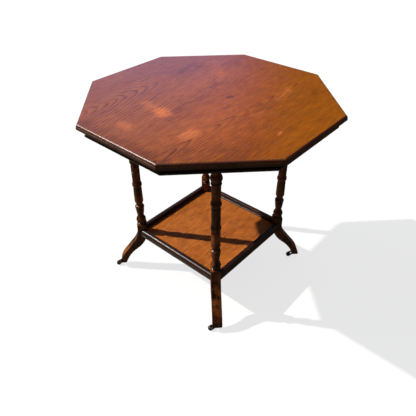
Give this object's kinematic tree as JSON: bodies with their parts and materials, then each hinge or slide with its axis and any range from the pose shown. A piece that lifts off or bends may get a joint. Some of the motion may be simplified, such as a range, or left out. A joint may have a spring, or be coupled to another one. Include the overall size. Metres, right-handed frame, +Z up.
{
  "type": "occasional table",
  "caption": "Octagonal occasional table with a moulded edge, turned legs ending in sabre feet on plate casters, and a rimmed undertier shelf.",
  "frame": {"origin": "on the floor under the centre of the top", "axes": "+Z up, front towards -Y; two sides of the octagonal top face -X and +X, and the legs stand on the X and Y axes"},
  "size_m": [0.796, 0.796, 0.722],
  "materials": {
    "top_wood": "french polished",
    "frieze_wood": "french polished, dark",
    "leg_wood": "french polished, dark",
    "rail_wood": "french polished, dark",
    "undertier_wood": "polished",
    "carcase_wood": "unfinished",
    "dowel_wood": "unfinished",
    "caster_iron": "blackened, worn",
    "wheel_iron": "worn smooth",
    "screw_steel": "dull",
    "screw_iron": "dull"
  },
  "bodies": {
    "table": {"bearer_cross": "carcase_wood", "bearer_long": "carcase_wood", "bearer_screws": "screw_steel", "caster_plate_back": "caster_iron", "caster_plate_front": "caster_iron", "caster_plate_left": "caster_iron", "caster_plate_right": "caster_iron", "caster_screws": "screw_iron", "frieze_back": "frieze_wood", "frieze_back_left": "frieze_wood", "frieze_back_right": "frieze_wood", "frieze_front": "frieze_wood", "frieze_front_left": "frieze_wood", "frieze_front_right": "frieze_wood", "frieze_left": "frieze_wood", "frieze_right": "frieze_wood", "glue_blocks": "carcase_wood", "leg_foot_back": "leg_wood", "leg_foot_front": "leg_wood", "leg_foot_left": "leg_wood", "leg_foot_right": "leg_wood", "leg_spindle_back": "leg_wood", "leg_spindle_front": "leg_wood", "leg_spindle_left": "leg_wood", "leg_spindle_right": "leg_wood", "rail_dowels": "dowel_wood", "swivel_pin_back": "caster_iron", "swivel_pin_front": "caster_iron", "swivel_pin_left": "caster_iron", "swivel_pin_right": "caster_iron", "top_board_back": "top_wood", "top_board_front": "top_wood", "top_board_middle": "top_wood", "undertier_bead_back_left": "rail_wood", "undertier_bead_back_right": "rail_wood", "undertier_bead_front_left": "rail_wood", "undertier_bead_front_right": "rail_wood", "undertier_board": "undertier_wood", "undertier_rail_back_left": "rail_wood", "undertier_rail_back_right": "rail_wood", "undertier_rail_front_left": "rail_wood", "undertier_rail_front_right": "rail_wood"},
    "horn_front": {"caster_horn_front": "caster_iron", "caster_axle_front": "caster_iron"},
    "wheel_front": {"caster_wheel_front": "wheel_iron"},
    "horn_right": {"caster_horn_right": "caster_iron", "caster_axle_right": "caster_iron"},
    "wheel_right": {"caster_wheel_right": "wheel_iron"},
    "horn_back": {"caster_horn_back": "caster_iron", "caster_axle_back": "caster_iron"},
    "wheel_back": {"caster_wheel_back": "wheel_iron"},
    "horn_left": {"caster_horn_left": "caster_iron", "caster_axle_left": "caster_iron"},
    "wheel_left": {"caster_wheel_left": "wheel_iron"}
  },
  "joints": [
    {"name": "caster_swivel_front", "type": "hinge", "parent": "table", "child": "horn_front", "pos_m": [0, -0.354, 0.02], "axis": [0, 0, 1], "continuous": true},
    {"name": "wheel_spin_front", "type": "hinge", "parent": "horn_front", "child": "wheel_front", "pos_m": [-0.024, -0.354, 0.009], "axis": [0, 1, 0], "continuous": true},
    {"name": "caster_swivel_right", "type": "hinge", "parent": "table", "child": "horn_right", "pos_m": [0.354, 0, 0.02], "axis": [0, 0, 1], "continuous": true},
    {"name": "wheel_spin_right", "type": "hinge", "parent": "horn_right", "child": "wheel_right", "pos_m": [0.33, 0, 0.009], "axis": [0, 1, 0], "continuous": true},
    {"name": "caster_swivel_back", "type": "hinge", "parent": "table", "child": "horn_back", "pos_m": [0, 0.354, 0.02], "axis": [0, 0, 1], "continuous": true},
    {"name": "wheel_spin_back", "type": "hinge", "parent": "horn_back", "child": "wheel_back", "pos_m": [-0.024, 0.354, 0.009], "axis": [0, 1, 0], "continuous": true},
    {"name": "caster_swivel_left", "type": "hinge", "parent": "table", "child": "horn_left", "pos_m": [-0.354, 0, 0.02], "axis": [0, 0, 1], "continuous": true},
    {"name": "wheel_spin_left", "type": "hinge", "parent": "horn_left", "child": "wheel_left", "pos_m": [-0.378, 0, 0.009], "axis": [0, 1, 0], "continuous": true}
  ]
}
